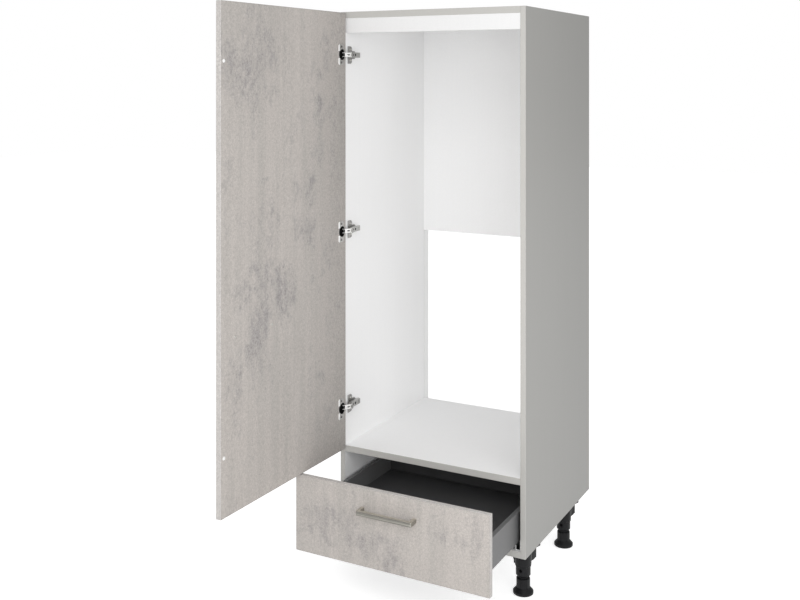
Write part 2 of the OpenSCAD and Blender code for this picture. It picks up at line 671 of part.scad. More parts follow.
// Runner sections in X and Z for the left side. A channel opens along +X and its lips hook inwards
module channel() {
    square([runner_t, channel_h]);
    for (z = [0, channel_h - runner_t]) translate([0, z]) square([channel_w, runner_t]);
    for (z = [runner_t - eps, channel_h - runner_t - hook])
        translate([channel_w - runner_t, z]) square([runner_t, hook + eps]);
}
module rail_section() {
    translate([side_t, runner_z]) square([runner_t, flange_up]);
    translate([side_t, runner_z]) square([rail_x + runner_t - side_t, runner_t]);
    translate([rail_x, runner_z]) square([runner_t, channel_low - runner_z + eps]);
    translate([rail_x, channel_low]) channel();
}
bar_low = channel_low + runner_t + play;
bar_h = channel_h - 2 * runner_t - 2 * play;
module middle_section() {
    first = rail_x + runner_t + play;
    last = slide_x - runner_t - play - bar_w;
    for (x = [first, last]) translate([x, bar_low]) square([bar_w, bar_h]);
    translate([first + bar_w - eps, bar_low + hook])
        square([last - first - bar_w + 2 * eps, bar_h - 2 * hook]);
}
module slide_section() {
    translate([slide_x, channel_low]) mirror([1, 0]) channel();
    translate([slide_x - channel_w, channel_low + channel_h - eps]) square([channel_w, rail_play + eps]);
}
module run(len, start) translate([0, start + len, 0]) rotate([90, 0, 0])
    linear_extrude(len) children();
module runner_rail(right) color("silver") stand() mirrored(right) difference() {
    run(rail_len, runner_y) rail_section();
    for (y = RUNNER_SCREWS) translate([side_t - 1, y, runner_z + flange_up / 2])
        rotate([0, 90, 0]) cylinder(d = 3.5 + 2 * fit, h = 4);
}
module runner_screws() color("silver") stand() for (right = [false, true]) mirrored(right)
    for (y = RUNNER_SCREWS) translate([side_t + runner_t, y, runner_z + flange_up / 2])
        rotate([0, 90, 0]) screw(6.5, 1.6, 3.5, runner_t + 10.5);
module runner_middle(right) color("silver") stand() translate([0, -drawer_out / 2, 0])
    mirrored(right) run(middle_len, runner_y + 5) middle_section();
module runner_slide(right) color("silver") stand() drawer_pose()
    mirrored(right) run(slide_len, runner_y) slide_section();

// Legs are drawn as a right one, from the carcass underside downwards
module leg_place(k) translate([LEGS[k][0], LEGS[k][1], 0])
    mirror([k % 2 == 0 ? 1 : 0, 0, 0]) children();
module leg() {
    difference() {
        union() {
            rotate_extrude() polygon([
                [0, 0], [collar_r, 0], [collar_r, -leg_plate_t], [collar_low_r, -collar_h],
                [leg_dia / 2, -collar_h - 2],
                [leg_dia / 2, -tube_end], [neck_r + 0.8, -neck_start], [neck_r, -neck_start],
                [neck_r, -leg_h + foot_floor + foot_gap], [0, -leg_h + foot_floor + foot_gap]]);
            translate([0, 0, -leg_plate_t]) linear_extrude(leg_plate_t) {
                for (l = [each LOBES, support_lobe]) rotate(l[1]) {
                    translate([0, -lobe_r]) square([l[0], 2 * lobe_r]);
                    translate([l[0], 0]) circle(lobe_r);
                }
            }
            rotate(support_lobe[1]) rib(SUPPORT_RIB);
            rotate(LOBES[1][1]) rib(INNER_RIB);
        }
        for (l = LOBES) rotate(l[1]) translate([l[0], 0, -leg_plate_t - 1])
            cylinder(d = screw_d + 2 * fit, h = leg_plate_t + 2);
    }
}
// An upright rib that runs outwards from the leg's middle
module rib(outline) translate([0, rib_t / 2, 0]) rotate([90, 0, 0]) linear_extrude(rib_t)
    polygon(outline);
module clip_bore() translate([0, -leg_dia / 2 + clip_deep, -clip_z]) rotate([90, 0, 0])
    cylinder(d = clip_dia, h = leg_dia);
module leg_at(k) color([0.13, 0.13, 0.13]) stand() difference() {
    leg_place(k) leg();
    translate([LEGS[k][0], LEGS[k][1], 0]) clip_bore();
}
module foot() difference() {
    rotate_extrude() polygon([
        [0, -leg_h], [foot_dia / 2 - 1, -leg_h], [foot_dia / 2, -leg_h + 1],
        [foot_dia / 2, -leg_h + disc_t - 1], [foot_dia / 2 - 1, -leg_h + disc_t],
        [cup_out_r, -leg_h + disc_t + flare_h], [cup_out_r, -foot_top - 1.5], [cup_out_r - 1.5, -foot_top],
        [neck_r + 2.5, -foot_top], [neck_r + fit * 2, -foot_top - 4],
        [neck_r + fit * 2, -leg_h + foot_floor], [0, -leg_h + foot_floor]]);
    for (turn = [0:45:315]) rotate(turn) translate([cup_out_r + 0.6, 0, -leg_h + disc_t + flare_h - 2])
        cylinder(r = 1.4, h = leg_h);
}
module foot_at(k) color([0.1, 0.1, 0.1]) stand() leg_place(k) foot();
module leg_screws() color("silver") stand() for (k = [0:3]) leg_place(k) for (l = LOBES)
    rotate(l[1]) translate([l[0], 0, -leg_plate_t]) rotate([180, 0, 0])
        screw(8, 2.2, screw_d, leg_plate_t + 12);

module bottom_panel() color("gainsboro") stand() difference() {
    deck_board(0);
    for (k = [0:3]) leg_place(k) for (l = LOBES) rotate(l[1]) translate([l[0], 0, -eps])
        cylinder(d = screw_d + 2 * fit, h = 12.5 + eps);
}

color([0.7, 0.7, 0.68]) stand() side_panel(true);  // side_panel_left
color([0.7, 0.7, 0.68]) stand() mirrored(true) side_panel(false);  // side_panel_right
color("gainsboro") stand() deck_board(2);  // top_panel
top_front_rail();
color("gainsboro") stand() deck_board(1);  // appliance_shelf
bottom_panel();
back_panel();
back_screws();
panel_dowels();
cam_bolts();
cam_locks();
door_panel();
door_bumpers();
door_handle();
door_handle_screws();
cup_at(0);  // hinge_cup_top
cup_at(1);  // hinge_cup_middle
cup_at(2);  // hinge_cup_bottom
hinge_cup_screws();
arm_at(0);  // hinge_arm_top
arm_at(1);  // hinge_arm_middle
arm_at(2);  // hinge_arm_bottom
hinge_arm_pins();
plate_at(0);  // hinge_plate_top
plate_at(1);  // hinge_plate_middle
plate_at(2);  // hinge_plate_bottom
hinge_plate_screws();
hinge_adjusting_screws();
outer_at(0);  // outer_link_top
outer_at(1);  // outer_link_middle
outer_at(2);  // outer_link_bottom
inner_at(0);  // inner_link_top
inner_at(1);  // inner_link_middle
inner_at(2);  // inner_link_bottom
drawer_front();
drawer_side(false);  // drawer_side_left
drawer_side(true);  // drawer_side_right
drawer_base();
drawer_back();
drawer_brackets();
drawer_screws();
handle();
handle_screws();
runner_rail(false);  // runner_rail_left
runner_rail(true);  // runner_rail_right
runner_middle(false);  // runner_middle_left
runner_middle(true);  // runner_middle_right
runner_slide(false);  // runner_slide_left
runner_slide(true);  // runner_slide_right
runner_screws();
leg_at(0);  // leg_front_left
leg_at(1);  // leg_front_right
leg_at(2);  // leg_rear_left
leg_at(3);  // leg_rear_right
foot_at(0);  // foot_front_left
foot_at(1);  // foot_front_right
foot_at(2);  // foot_rear_left
foot_at(3);  // foot_rear_right
leg_screws();
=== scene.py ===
"""Looks of a tall fridge housing unit: the finish of every piece, the studio round it and the camera."""
import json
import logging
import math
from dataclasses import dataclass
from enum import Enum
from functools import reduce
from typing import Any, Dict, List, Protocol, Sequence, Tuple

import bpy
from mathutils import Matrix, Vector


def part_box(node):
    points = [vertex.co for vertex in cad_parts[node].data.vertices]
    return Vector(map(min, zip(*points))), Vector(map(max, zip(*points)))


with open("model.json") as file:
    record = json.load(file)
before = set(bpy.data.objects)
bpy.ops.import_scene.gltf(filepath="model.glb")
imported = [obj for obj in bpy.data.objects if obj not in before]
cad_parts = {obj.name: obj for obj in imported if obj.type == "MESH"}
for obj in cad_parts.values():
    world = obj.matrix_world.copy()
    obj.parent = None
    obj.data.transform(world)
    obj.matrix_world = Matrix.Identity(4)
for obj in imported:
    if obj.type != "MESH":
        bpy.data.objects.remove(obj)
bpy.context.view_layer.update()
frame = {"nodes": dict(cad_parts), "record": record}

log = logging.getLogger("fridge_housing")
Colour = Tuple[float, float, float]
Place = Tuple[float, float, float]

# A distance further out than any piece, in metres
BEYOND = 9.0
# The value that a noise swings about
NOISE_MIDDLE = 0.5


class Axis(Enum):
    """The three directions of the unit."""

    WIDTH = 0
    DEPTH = 1
    HEIGHT = 2


class Ray(Enum):
    """The kinds of rays that are shown a white surround."""

    CAMERA = "Is Camera Ray"
    GLOSSY = "Is Glossy Ray"
    TRANSMITTED = "Is Transmission Ray"


class Shade:
    """A shader socket that takes part in written sums: each sum adds a Math node."""

    def __init__(self, tree: bpy.types.NodeTree, socket: bpy.types.NodeSocket) -> None:
        """Keeps the socket.

        Args:
            tree: the node tree that new nodes go into.
            socket: the output that this value comes from.
        """
        self.tree = tree
        self.socket = socket

    def _sum(self, operation: str, first: Any, second: Any = None) -> "Shade":
        """Adds one Math node.

        Args:
            operation: the node's operation.
            first: a Shade or a number.
            second: a Shade, a number or nothing.

        Returns:
            The node's result.
        """
        node = self.tree.nodes.new("ShaderNodeMath")
        node.operation = operation
        for socket, value in zip(node.inputs, (first, second)):
            if isinstance(value, Shade):
                self.tree.links.new(value.socket, socket)
            elif value is not None:
                socket.default_value = float(value)
        return Shade(self.tree, node.outputs[0])

    def __add__(self, other: Any) -> "Shade":
        """Adds a value."""
        return self._sum("ADD", self, other)

    def __radd__(self, other: Any) -> "Shade":
        """Adds to a number."""
        return self._sum("ADD", other, self)

    def __sub__(self, other: Any) -> "Shade":
        """Takes a value away."""
        return self._sum("SUBTRACT", self, other)

    def __rsub__(self, other: Any) -> "Shade":
        """Is taken away from a number."""
        return self._sum("SUBTRACT", other, self)

    def __mul__(self, other: Any) -> "Shade":
        """Multiplies by a value."""
        return self._sum("MULTIPLY", self, other)

    def __truediv__(self, other: Any) -> "Shade":
        """Divides by a value."""
        return self._sum("DIVIDE", self, other)

    def __gt__(self, other: Any) -> "Shade":
        """Is 1 where this value is the greater."""
        return self._sum("GREATER_THAN", self, other)

    def __lt__(self, other: Any) -> "Shade":
        """Is 1 where this value is the smaller."""
        return self._sum("LESS_THAN", self, other)

    def __abs__(self) -> "Shade":
        """Drops the sign."""
        return self._sum("ABSOLUTE", self)

    def at_most(self, other: Any) -> "Shade":
        """Gives the smaller of two values."""
        return self._sum("MINIMUM", self, other)

    def at_least(self, other: Any) -> "Shade":
        """Gives the greater of two values."""
        return self._sum("MAXIMUM", self, other)

    def swing(self, strength: float) -> "Shade":
        """Turns a noise into a swing about 0 of some strength."""
        return (self - NOISE_MIDDLE) * strength

    def ramp(self, low: float, high: float) -> "Shade":
        """Gives 0 below low and 1 above high, with a smooth rise between them.

        Args:
            low: where the rise starts.
            high: where the rise ends.

        Returns:
            The smooth step.
        """
        node = self.tree.nodes.new("ShaderNodeMapRange")
        node.interpolation_type = "SMOOTHSTEP"
        self.tree.links.new(self.socket, node.inputs["Value"])
        node.inputs["From Min"].default_value = low
        node.inputs["From Max"].default_value = high
        return Shade(self.tree, node.outputs[0])


@dataclass(frozen=True)
class Grain:
    """A soft noise: its spots to a metre along each axis, and the number and strength of its finer layers."""

    scale: Tuple[float, float, float]
    detail: float = 3.0
    rough: float = 0.5

    @classmethod
    def even(cls, scale: float, rough: float = 0.5) -> "Grain":
        """Describes a noise that is the same along all three axes.

        Args:
            scale: how many spots go to a metre.
            rough: how strong the finer layers are.

        Returns:
            The noise.
        """
        return cls((scale, scale, scale), rough=rough)

    @classmethod
    def lines(cls, along: Axis, lines: float, spots: float, detail: float, rough: float) -> "Grain":
        """Describes a noise drawn out into lines along one axis.

        Args:
            along: the direction of the lines.
            lines: how many lines go to a metre.
            spots: how many spots go to a metre along a line.
            detail: how many finer layers it has.
            rough: how strong the finer layers are.

        Returns:
            The noise.
        """
        scale = [lines, lines, lines]
        scale[along.value] = spots
        return cls(tuple(scale), detail, rough)


# What all brushed metal here has: its smears, the relief of its lines and how they change its roughness
SMEARS = Grain.even(70.0, 0.55)
BRUSHED = {"strength": 0.12, "distance": 0.0002}
BRUSHED_ROUGH = 0.16
# The colour of both handles
NICKEL: Colour = (0.405, 0.392, 0.352)


class Bench:
    """Adds nodes to one node tree, which it empties first."""

    def __init__(self, tree: bpy.types.NodeTree) -> None:
        """Empties the tree.

        Args:
            tree: the node tree of a material or the world.
        """
        self.tree = tree
        tree.nodes.clear()

    def node(self, kind: str, settings: Dict[str, Any], inputs: Dict[Any, Any]) -> bpy.types.Node:
        """Adds one node of any kind.

        Args:
            kind: the node's type.
            settings: the node's own properties, which are set first.
            inputs: values, sockets or Shades by the name or number of the input.

        Returns:
            The new node.
        """
        node = self.tree.nodes.new(kind)
        for name, value in settings.items():
            setattr(node, name, value)
        for name, value in inputs.items():
            self.feed(node.inputs[name], value)
        return node

    def feed(self, socket: bpy.types.NodeSocket, value: Any) -> None:
        """Links or sets one input.

        Args:
            socket: the input.
            value: a Shade, a socket, a number or a colour.
        """
        if isinstance(value, Shade):
            self.tree.links.new(value.socket, socket)
        elif isinstance(value, bpy.types.NodeSocket):
            self.tree.links.new(value, socket)
        elif socket.type == "RGBA":
            socket.default_value = (*value, 1.0)
        else:
            socket.default_value = value

    def split(self, vector: bpy.types.NodeSocket) -> List[Shade]:
        """Takes a vector apart.

        Args:
            vector: the vector's socket.

        Returns:
            Its parts along the width, the depth and the height.
        """
        node = self.node("ShaderNodeSeparateXYZ", {}, {"Vector": vector})
        return [Shade(self.tree, node.outputs[axis.value]) for axis in Axis]

    def seen_by(self, *rays: Ray) -> Shade:
        """Tells some kinds of rays from all others.

        Args:
            *rays: the kinds of rays.

        Returns:
            1 for these rays and 0 for all others.
        """
        path = self.node("ShaderNodeLightPath", {}, {})
        return reduce(Shade.at_least, [Shade(self.tree, path.outputs[ray.value]) for ray in rays])


class Painter(Bench):
    """Builds one material around a Principled shader."""

    def __init__(self, name: str) -> None:
        """Starts a material.

        Args:
            name: the material's name.
        """
        self.material = bpy.data.materials.new(name)
        self.material.use_nodes = True
        super().__init__(self.material.node_tree)
        self.shader = self.node("ShaderNodeBsdfPrincipled", {}, {})
        self.output = self.node("ShaderNodeOutputMaterial", {}, {"Surface": self.shader.outputs[0]})
        coordinates = self.node("ShaderNodeTexCoord", {}, {})
        self.place = coordinates.outputs["Object"]
        self.normal = coordinates.outputs["Normal"]

    def noise(self, grain: Grain) -> Shade:
        """Adds a soft noise.

        Args:
            grain: what the noise is like.

        Returns:
            The noise, round about 0.5.
        """
        spread = self.node("ShaderNodeMapping", {}, {"Vector": self.place, "Scale": grain.scale})
        node = self.node("ShaderNodeTexNoise", {"noise_dimensions": "3D"},
                         {"Vector": spread.outputs[0], "Scale": 1.0, "Detail": grain.detail,
                          "Roughness": grain.rough})
        return Shade(self.tree, node.outputs[0])

    def blend(self, amount: Any, low: Any, high: Any) -> bpy.types.NodeSocket:
        """Mixes two colours.

        Args:
            amount: 0 for the first colour and 1 for the second.
            low: the first colour.
            high: the second colour.

        Returns:
            The mixed colour.
        """
        # A Mix node's colour sockets share their names with others, so they go by number
        factor, first, second, result = 0, 6, 7, 2
        node = self.node("ShaderNodeMix", {"data_type": "RGBA", "clamp_factor": True},
                         {factor: amount, first: low, second: high})
        return node.outputs[result]

    def toned(self, colour: Any, gain: Any) -> bpy.types.NodeSocket:
        """Scales a colour's brightness.

        Args:
            colour: the colour.
            gain: the factor.

        Returns:
            The scaled colour.
        """
        node = self.node("ShaderNodeVectorMath", {"operation": "SCALE"}, {0: colour, "Scale": gain})
        return node.outputs[0]

    def bump(self, height: Shade, strength: float, distance: float) -> None:
        """Feeds a height to the shader's normal.

        Args:
            height: the height.
            strength: how strongly it counts.
            distance: the height of 1, in metres.
        """
        node = self.node("ShaderNodeBump", {}, {"Height": height, "Strength": strength, "Distance": distance})
        self.feed(self.shader.inputs["Normal"], node.outputs[0])

    def facing(self, axis: Axis) -> Shade:
        """Gives how far a surface faces along an axis of the unit, at rest.

        Args:
            axis: the axis.

        Returns:
            The absolute part of the normal along it.
        """
        return abs(self.split(self.normal)[axis.value])

    def finish(self, colour: Any, rough: Any, metallic: Any = 0.0,
               specular: float = 0.5) -> bpy.types.Material:
        """Sets the shader and hands over the material.

        Args:
            colour: the base colour.
            rough: the roughness.
            metallic: 1 for bare metal.
            specular: the strength of the gloss, where 0.5 is plain.

        Returns:
            The material.
        """
        self.feed(self.shader.inputs["Base Color"], colour)
        self.feed(self.shader.inputs["Roughness"], rough)
        self.feed(self.shader.inputs["Metallic"], metallic)
        self.feed(self.shader.inputs["Specular IOR Level"], specular)
        return self.material


class Finish(Protocol):
    """What every finish has: a name and a way to build its material."""

    name: str

    def material(self) -> bpy.types.Material:
        """Builds the material."""


def swung(node: str, pivot: Vector, turn: float) -> List[Vector]:
    """Turns a CAD node's points about an upright axis, without touching the node.

    Args:
        node: the CAD node.
        pivot: a point on the axis.
        turn: the angle, in radians.

    Returns:
        The turned points.
    """
    matrix = Matrix.Rotation(turn, 4, "Z")
    return [matrix @ (vertex.co - pivot) + pivot for vertex in frame["nodes"][node].data.vertices]


@dataclass(frozen=True)
class Board:
    """A board's outline where its piece is shut: its middle, its half sizes and the turn that shuts it."""

    middle: Place
    half: Place
    pivot: Place
    turn: float

    @classmethod
    def of(cls, node: str, joint: str = "") -> "Board":
        """Measures a board in the frame.

        Args:
            node: the CAD node.
            joint: the hinge that it hangs on, if it is open at rest.

        Returns:
            The board's outline.
        """
        pivot, turn = Vector((0.0, 0.0, 0.0)), 0.0
        if joint:
            row = next(j for j in frame["record"]["behaviour"]["joints"] if j["name"] == joint)
            pivot = Vector(row["pos_m"])
            turn = math.radians(row["range_deg"][0] * row["axis"][2])
        shut = swung(node, pivot, turn)
        low = [min(point[axis.value] for point in shut) for axis in Axis]
        high = [max(point[axis.value] for point in shut) for axis in Axis]
        middle = tuple((a + b) / 2 for a, b in zip(low, high))
        half = tuple((b - a) / 2 for a, b in zip(low, high))
        return cls(middle, half, tuple(pivot), turn)

    def far_side(self, node: str) -> float:
        """Gives how far a piece on the shut board reaches along its width, from the board's middle."""
        return max(point.x for point in swung(node, Vector(self.pivot), self.turn)) - self.middle[0]

    def places(self, p: Painter) -> List[Shade]:
        """Gives a point's place on the shut board, from the board's middle.

        Args:
            p: the painter.

        Returns:
            The place along the width, the depth and the height, in metres.
        """
        shut = p.node("ShaderNodeVectorRotate", {"rotation_type": "Z_AXIS"},
                      {"Vector": p.place, "Center": self.pivot, "Angle": self.turn})
        return [part - middle for part, middle in zip(p.split(shut.outputs[0]), self.middle)]


@dataclass(frozen=True)
class Cloud:
    """A cooler, rougher patch in the concrete: its middle on the board, its reach and its strength."""

    across: float
    up: float
    reach_across: float
    reach_up: float
    strength: float = 1.0
    # Where the patch ends, as the square of its distance in reaches
    end: float = 2.2

    def cover(self, width: Shade, height: Shade) -> Shade:
        """Gives how much the patch covers a point.

        Args:
            width: the point's place along the board's width.
            height: the point's place along the board's height.

        Returns:
            The patch's strength in its middle, and 0 beyond its end.
        """
        across = (width - self.across) / self.reach_across
        up = (height - self.up) / self.reach_up
        return (1.0 - (across * across + up * up).ramp(0.0, self.end)) * self.strength


@dataclass(frozen=True)
class Melamine:
    """A smooth coated board: an inner face colour, an outer face colour and an edge band."""

    name: str
    inner: Colour
    outer: Colour
    edge: Colour
    # The middle of the unit's width, and the distance from it where the outer faces start
    middle: float = 0.0
    outer_from: float = BEYOND
    # The depth before which a face is the front edge band
    edge_before: float = -BEYOND
    rough: float = 0.42
    specular: float = 0.42
    # Painted shade: how much darker an outer face is painted from this far behind the front edge, as the
    # light falls off towards the rear
    rear_shade: float = 0.09
    rear_shade_reach: float = 0.6
    # The print's noises, each with its strength in the colour
    mottle: Grain = Grain((2.2, 2.2, 1.2), 2.0)
    mottle_tone: float = 0.04
    speckle: Grain = Grain.even(420.0, 0.6)
    speckle_tone: float = 0.10
    streaks: Grain = Grain((110.0, 110.0, 1.6), 3.0, 0.6)
    streaks_tone: float = 0.035
    # The pressed-in pores: how much they change the roughness, and their relief with its height in metres
    pores: Grain = Grain.even(260.0, 0.6)
    pores_rough: float = 0.12
    pores_relief: float = 0.10
    pores_height: float = 0.0004

    def material(self) -> bpy.types.Material:
        """Builds the board's material.

        Returns:
            The material.
        """
        p = Painter(self.name)
        width, depth, _ = p.split(p.place)
        pores = p.noise(self.pores)
        outside = abs(width - self.middle) > self.outer_from
        face = p.blend(outside, self.inner, self.outer)
        colour = p.blend(depth < self.edge_before, face, self.edge)
        printed = (1.0 + p.noise(self.mottle).swing(self.mottle_tone)
                   + p.noise(self.speckle).swing(self.speckle_tone)
                   + p.noise(self.streaks).swing(self.streaks_tone))
        # Painted shade: outer faces are darkened towards the rear
        rearward = depth.ramp(self.edge_before, self.edge_before + self.rear_shade_reach)
        tone = printed * (1.0 - rearward * outside * self.rear_shade)
        rough = self.rough + pores.swing(self.pores_rough)
        p.bump(pores, self.pores_relief, self.pores_height)
        return p.finish(p.toned(colour, tone), rough, specular=self.specular)


@dataclass(frozen=True)
class Concrete:
    """A matt laminate printed as cast concrete: a warm ground, cooler torn clouds and a fine speckle."""

    name: str
    board: Board
    clouds: Tuple[Cloud, ...]
    # Print and painted shade: how much darker the side towards the hinges is painted
    hinged: float = 0.0
    light: Colour = (0.496, 0.461, 0.433)
    middle: Colour = (0.444, 0.417, 0.392)
    dark: Colour = (0.322, 0.304, 0.298)
    edge: Colour = (0.535, 0.512, 0.493)
    # Widths of the bright edge band, a real edge band painted lighter as a highlight along the board's edges,
    # and of the dark glue line inside it
    band: float = 0.0010
    seam: float = 0.0005
    seam_dark: float = 0.42
    rough: float = 0.60
    specular: float = 0.35
    # From the broadest noise to the finest
    broad: Grain = Grain((3.1, 3.1, 1.9), 3.0, 0.5)
    patches: Grain = Grain((13.0, 13.0, 9.0), 8.0, 0.64)
    smears: Grain = Grain((30.0, 30.0, 1.3), 3.0, 0.55)
    torn: Grain = Grain((52.0, 52.0, 34.0), 6.0, 0.75)
    fine: Grain = Grain((175.0, 175.0, 150.0), 3.0, 0.70)
    speck: Grain = Grain((430.0, 430.0, 430.0), 2.0, 0.5)
    # What makes the dark patches: the noises' shares, the clouds' share and the sum at which a patch rises
    patches_share: float = 0.78
    torn_share: float = 0.34
    cloud_share: float = 0.15
    broad_share: float = 0.10
    patch_rise: Tuple[float, float] = (0.585, 0.815)
    # How solid a patch is where it is most torn, and the range in which it tears
    torn_least: float = 0.50
    torn_rise: Tuple[float, float] = (0.36, 0.64)
    # The share of the smears in the ground's two colours, and the range in which they change
    ground_smears: float = 0.55
    ground_rise: Tuple[float, float] = (0.36, 0.62)
    # The noises' strengths in the brightness, and how much more the fine one counts in a patch
    fine_tone: float = 0.90
    fine_ground: float = 0.7
    fine_patch: float = 0.6
    speck_tone: float = 0.60
    patches_tone: float = 0.16
    smears_tone: float = 0.06
    # Where the darker hinge side, partly print and partly painted shade, starts and ends, in halves of the
    # board's width, and how streaky it is
    hinged_rise: Tuple[float, float] = (0.2, 1.2)
    hinged_least: float = 0.35
    hinged_streaks: float = 1.3
    # The relief: the shares of the fine noise, the speckle and the torn noise, and its height in metres
    relief_shares: Tuple[float, float, float] = (0.5, 0.3, 0.2)
    relief: float = 0.20
    relief_height: float = 0.0005
    # How much the torn noise changes the roughness, and how much smoother the edge band is
    torn_rough: float = 0.14
    rim_smoother: float = 0.08

    def material(self) -> bpy.types.Material:
        """Builds the laminate's material.

        Returns:
            The material.
        """
        p = Painter(self.name)
        width, _, height = self.board.places(p)
        broad, patches, smears, torn, fine, speck = (
            p.noise(grain)
            for grain in (self.broad, self.patches, self.smears, self.torn, self.fine, self.speck))

        cover = reduce(Shade.at_least, [cloud.cover(width, height) for cloud in self.clouds])
        patch = (patches * self.patches_share + torn * self.torn_share + cover * self.cloud_share
                 + broad.swing(self.broad_share)).ramp(*self.patch_rise)
        worn = patch * (self.torn_least + torn.ramp(*self.torn_rise) * (1.0 - self.torn_least))
        lighter = (broad * (1.0 - self.ground_smears) + smears * self.ground_smears).ramp(*self.ground_rise)
        face = p.blend(worn, p.blend(lighter, self.middle, self.light), self.dark)

        tone = (1.0 + fine.swing(self.fine_tone) * (self.fine_ground + patch * self.fine_patch)
                + speck.swing(self.speck_tone) + patches.swing(self.patches_tone)
                + smears.swing(self.smears_tone))
        # Print and painted shade: the side towards the hinges darkens in upright streaks
        if self.hinged:
            start, end = (share * self.board.half[0] for share in self.hinged_rise)
            streaks = self.hinged_least + smears * self.hinged_streaks
            tone = tone - (width * -1.0).ramp(start, end) * streaks * self.hinged

        inset = (self.board.half[0] - abs(width)).at_most(self.board.half[2] - abs(height))
        # The edge band is lighter than the ground: part real band, part painted highlight
        rim = inset < self.band
        line = (inset > self.band) * (inset < self.band + self.seam)
        colour = p.toned(p.blend(rim, face, self.edge), tone * (1.0 - line * self.seam_dark))
        rough = self.rough + torn.swing(self.torn_rough) - rim * self.rim_smoother
        of_fine, of_speck, of_torn = self.relief_shares
        p.bump(fine * of_fine + speck * of_speck + torn * of_torn, self.relief, self.relief_height)
        return p.finish(colour, rough, specular=self.specular)


@dataclass(frozen=True)
class PlatedMetal:
    """Bare or plated metal with faint smears and fine brushing, and drawn lines with painted light on the
    front and top faces of a handle.
    """

    name: str
    colour: Colour
    rough: float = 0.28
    # The direction of the brushing, its strength and that of the smears, which count twice in the colour
    along: Axis = Axis.DEPTH
    brush: float = 0.25
    smear: float = 0.08
    metallic: float = 1.0
    # The strength of the drawn lines, and the painted light on the front and top faces with them: lighter or
    # darker by the way they face
    drawn: float = 0.0
    front_painted_light: float = 0.0
    top_painted_light: float = 0.0
    # The lines to a metre across the metal and the spots to a metre along a line
    brush_lines: Tuple[float, float] = (1400.0, 26.0)
    drawn_lines: Tuple[float, float] = (220.0, 4.0)

    def material(self) -> bpy.types.Material:
        """Builds the metal's material.

        Returns:
            The material.
        """
        p = Painter(self.name)
        lines = p.noise(Grain.lines(self.along, *self.brush_lines, detail=2.0, rough=0.6))
        smears = p.noise(SMEARS)
        tone = 1.0 + lines.swing(self.brush) + smears.swing(self.smear * 2)
        if self.drawn:
            wider = p.noise(Grain.lines(self.along, *self.drawn_lines, detail=1.0, rough=0.5))
            # Painted light: front and top faces are painted darker or lighter by the way they face
            tone = (tone + wider.swing(self.drawn) + p.facing(Axis.DEPTH) * self.front_painted_light
                    + p.facing(Axis.HEIGHT) * self.top_painted_light)
        p.bump(lines, **BRUSHED)
        rough = self.rough + lines.swing(BRUSHED_ROUGH) + smears.swing(self.smear)
        return p.finish(p.toned(self.colour, tone), rough, self.metallic)


@dataclass(frozen=True)
class HingeCup:
    """A hinge cup: a satin flange with a painted highlight along its far rim, and painted shade in the bowl
    below the door's face.
    """

    name: str
    board: Board
    satin: Colour = (0.48, 0.475, 0.46)
    # Painted highlight along the flange's far rim
    rim_highlight: Colour = (0.97, 0.97, 0.96)
    # Painted shade: the bowl is painted near black where only shade falls
    bowl_shade: Colour = (0.012, 0.012, 0.012)
    rim_width: float = 0.0052
    # How far below the door's face the bowl starts
    bowl_from: float = 0.0002
    rough: float = 0.34
    bowl_rougher: float = 0.2
    # How much less metallic the rim's painted highlight and the bowl's painted shade are
    rim_duller: float = 0.75
    bowl_duller: float = 0.6
    brush: float = 0.16
    smear: float = 0.20
    brushing: Grain = Grain.lines(Axis.HEIGHT, 1400.0, 40.0, detail=2.0, rough=0.6)

    def material(self) -> bpy.types.Material:
        """Builds the cup's material.

        Returns:
            The material.
        """
        p = Painter(self.name)
        width, depth, _ = self.board.places(p)
        lines = p.noise(self.brushing)
        # Painted highlight on the far rim and painted shade in the bowl below the door's face
        rim = width > self.board.far_side("hinge_cup_middle") - self.rim_width
        inside = depth < self.board.half[1] - self.bowl_from
        colour = p.blend(inside, p.blend(rim, self.satin, self.rim_highlight), self.bowl_shade)
        tone = 1.0 + lines.swing(self.brush) + p.noise(SMEARS).swing(self.smear)
        p.bump(lines, **BRUSHED)
        rough = self.rough + lines.swing(BRUSHED_ROUGH) + inside * self.bowl_rougher
        metallic = (1.0 - rim * self.rim_duller) * (1.0 - inside * self.bowl_duller)
        return p.finish(p.toned(colour, tone), rough, metallic)


@dataclass(frozen=True)
class Coating:
    """Powder coat, moulded plastic, rubber or plain wood: one colour with a fine grain."""

    name: str
    colour: Colour
    rough: float = 0.5
    specular: float = 0.5
    # The grain's spots to a metre, and its relief with its height in metres
    grain: float = 700.0
    relief: float = 0.22
    height: float = 0.0004
    # How much the colour varies, and how much the grain and the broader blotches change the roughness
    variation: float = 0.14
    grain_rough: float = 0.12
    blotches_rough: float = 0.08
    blotches: Grain = Grain.even(14.0)

    def material(self) -> bpy.types.Material:
        """Builds the coating's material.

        Returns:
            The material.
        """
        p = Painter(self.name)
        grain = p.noise(Grain.even(self.grain, 0.6))
        blotches = p.noise(self.blotches)
        tone = 1.0 + grain.swing(self.variation) + blotches.swing(self.variation)
        rough = self.rough + grain.swing(self.grain_rough) + blotches.swing(self.blotches_rough)
        p.bump(grain, self.relief, self.height)
        return p.finish(p.toned(self.colour, tone), rough, specular=self.specular)


def dress(names: Sequence[str], finish: Finish) -> None:
    """Puts one finish on several CAD nodes.

    Args:
        names: the nodes.
        finish: their finish.
    """
    material = finish.material()
    for name in names:
        materials = frame["nodes"][name].data.materials
        if materials:
            for slot in range(len(materials)):
                materials[slot] = material
        else:
            materials.append(material)
        log.info("%s has the finish %s", name, finish.name)


